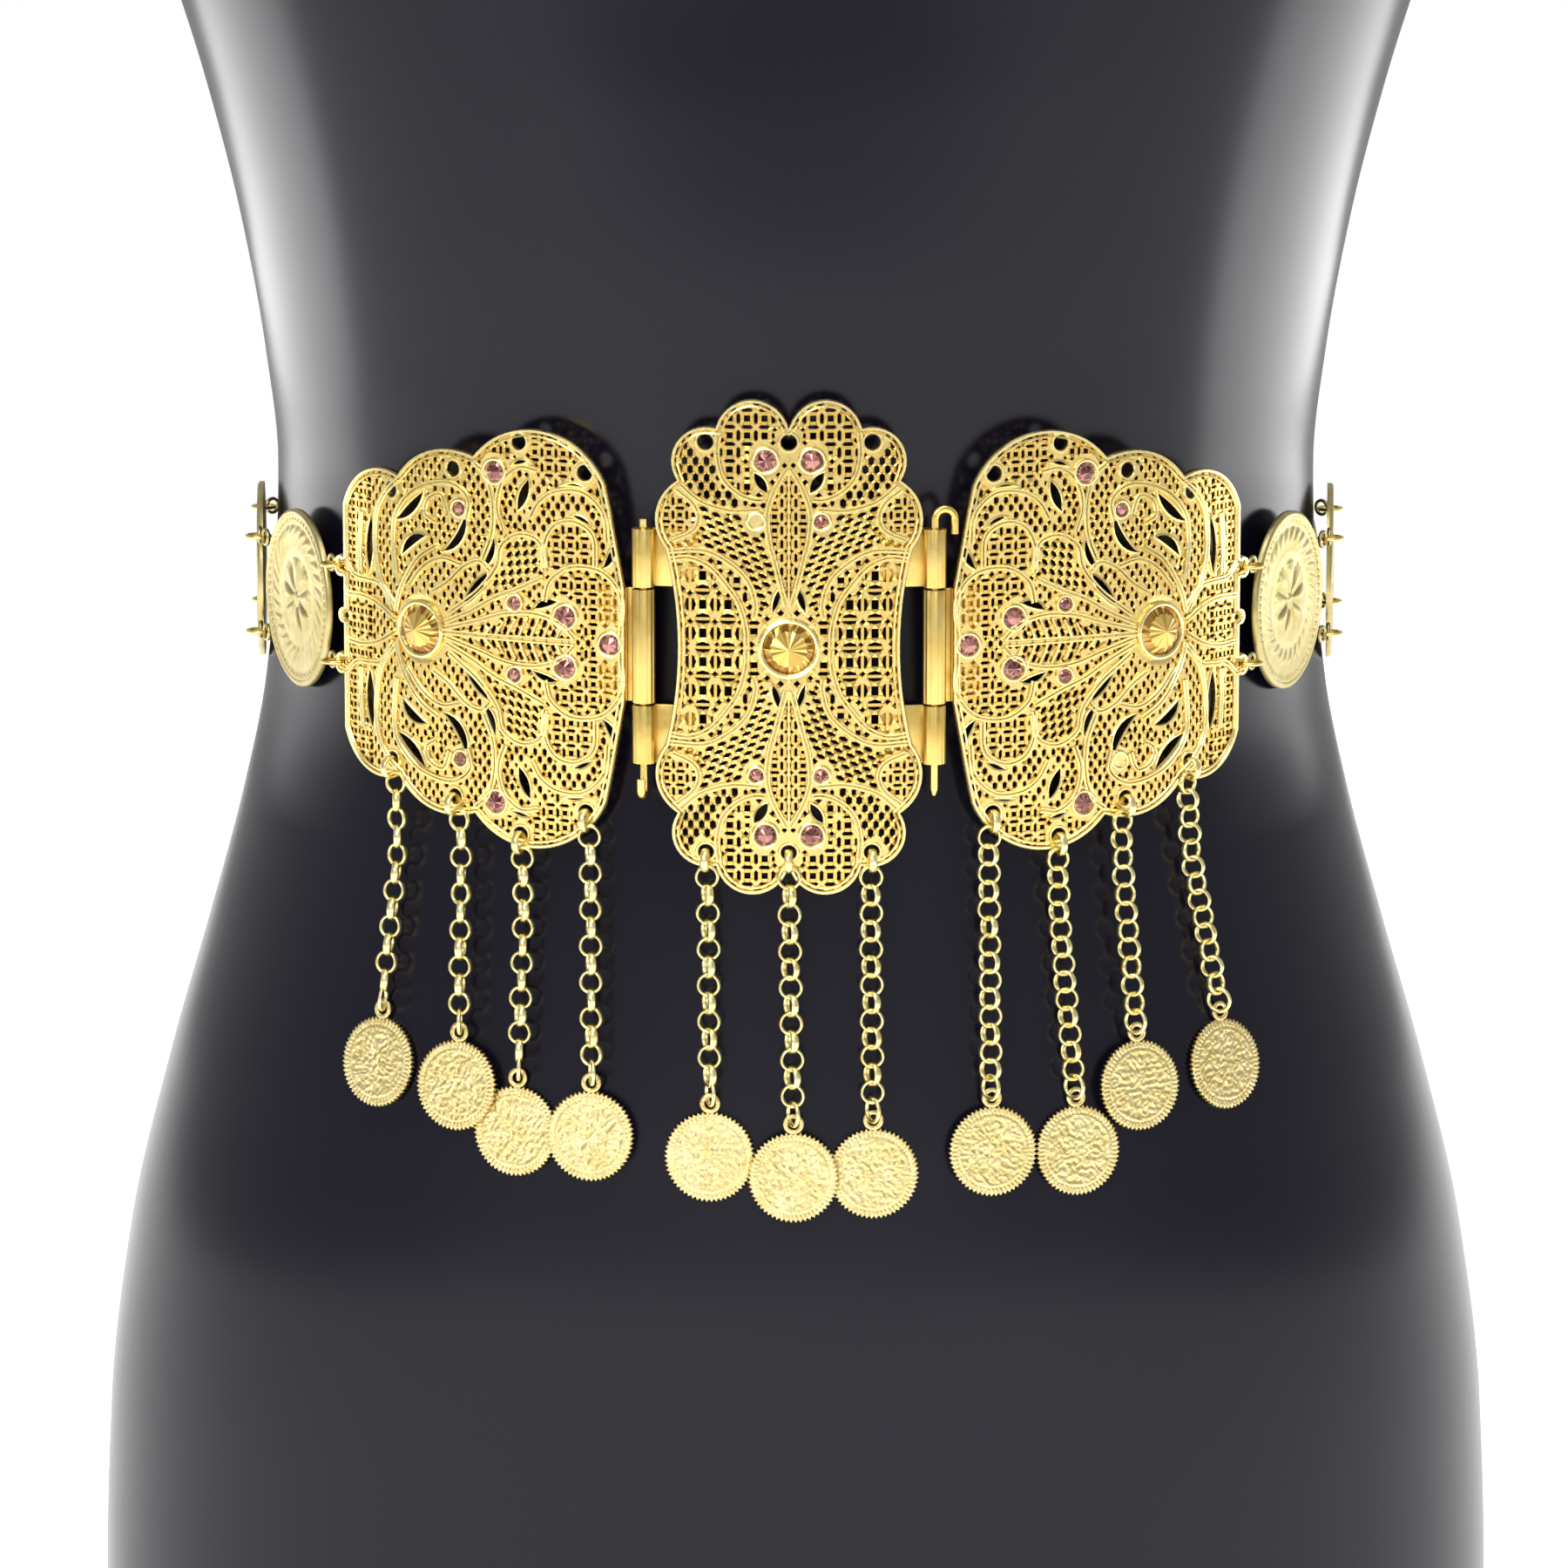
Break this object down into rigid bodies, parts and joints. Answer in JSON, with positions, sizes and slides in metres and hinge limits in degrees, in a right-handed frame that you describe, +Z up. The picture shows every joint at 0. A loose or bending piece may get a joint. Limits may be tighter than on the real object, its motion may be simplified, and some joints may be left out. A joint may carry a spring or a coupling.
{
  "type": "coin waist chain on a dress form",
  "caption": "Gold filigree waist chain with hinged plates, coins and hanging coin strands, fastened round a limbless dress form.",
  "frame": {"origin": "middle of the dress form's flat base", "axes": "+Z up, front of the belt towards -Y, +X to the viewer's right"},
  "size_m": [0.324, 0.246, 0.7],
  "materials": {
    "form": "smooth gloss black",
    "gold": "bright yellow gold plating",
    "coin": "pale satin gold plating",
    "stone": "faceted amber stone in a gold cup"
  },
  "bodies": {
    "root": {"dress_form": "form", "plate_centre": "gold", "plate_left": "gold", "plate_right": "gold", "hinge_left_lower": "gold", "hinge_left_middle": "gold", "hinge_left_upper": "gold", "hinge_right_lower": "gold", "hinge_right_middle": "gold", "hinge_right_upper": "gold", "pin_closing": "gold", "pin_fixed": "gold", "ring_01": "gold", "ring_02": "gold", "ring_03": "gold", "ring_04": "gold", "ring_05": "gold", "ring_06": "gold", "ring_07": "gold", "ring_08": "gold", "ring_09": "gold", "ring_10": "gold", "ring_11": "gold", "ring_12": "gold", "ring_13": "gold", "ring_14": "gold", "ring_15": "gold", "ring_16": "gold", "ring_17": "gold", "ring_18": "gold", "ring_19": "gold", "ring_20": "gold", "ring_21": "gold", "ring_22": "gold", "stone_centre": "stone", "stone_left": "stone", "stone_right": "stone", "coin_01": "coin", "coin_02": "coin", "coin_03": "coin", "coin_04": "coin", "coin_05": "coin", "coin_06": "coin", "coin_07": "coin", "coin_08": "coin", "coin_09": "coin", "coin_10": "coin", "strand_01": "coin", "strand_02": "coin", "strand_03": "coin", "strand_04": "coin", "strand_05": "coin", "strand_06": "coin", "strand_07": "coin", "strand_08": "coin", "strand_09": "coin", "strand_10": "coin", "strand_11": "coin"}
  },
  "joints": []
}
